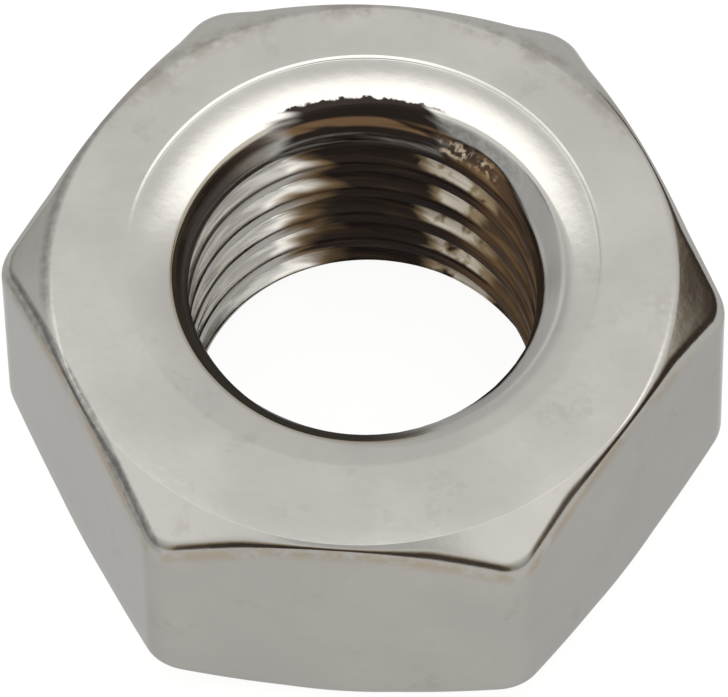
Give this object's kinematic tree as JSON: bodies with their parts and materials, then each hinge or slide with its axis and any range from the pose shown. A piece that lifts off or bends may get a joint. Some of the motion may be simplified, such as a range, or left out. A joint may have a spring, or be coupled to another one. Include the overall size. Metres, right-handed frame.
{
  "type": "hex nut",
  "caption": "Plated hexagon nut with a right-hand internal thread, countersunk at both ends, and turned-down corners on both bearing faces.",
  "frame": {"origin": "centre of the lower bearing face, on the thread axis", "axes": "+Z along the thread axis, towards the face with the round step; +X through two opposite corners; +Y and -Y out of two opposite flats"},
  "size_m": [0.0148, 0.013, 0.0061],
  "materials": {
    "plating": "bright plated, slightly uneven, lightly handled"
  },
  "bodies": {
    "root": {"hex_nut": "plating"}
  },
  "joints": []
}
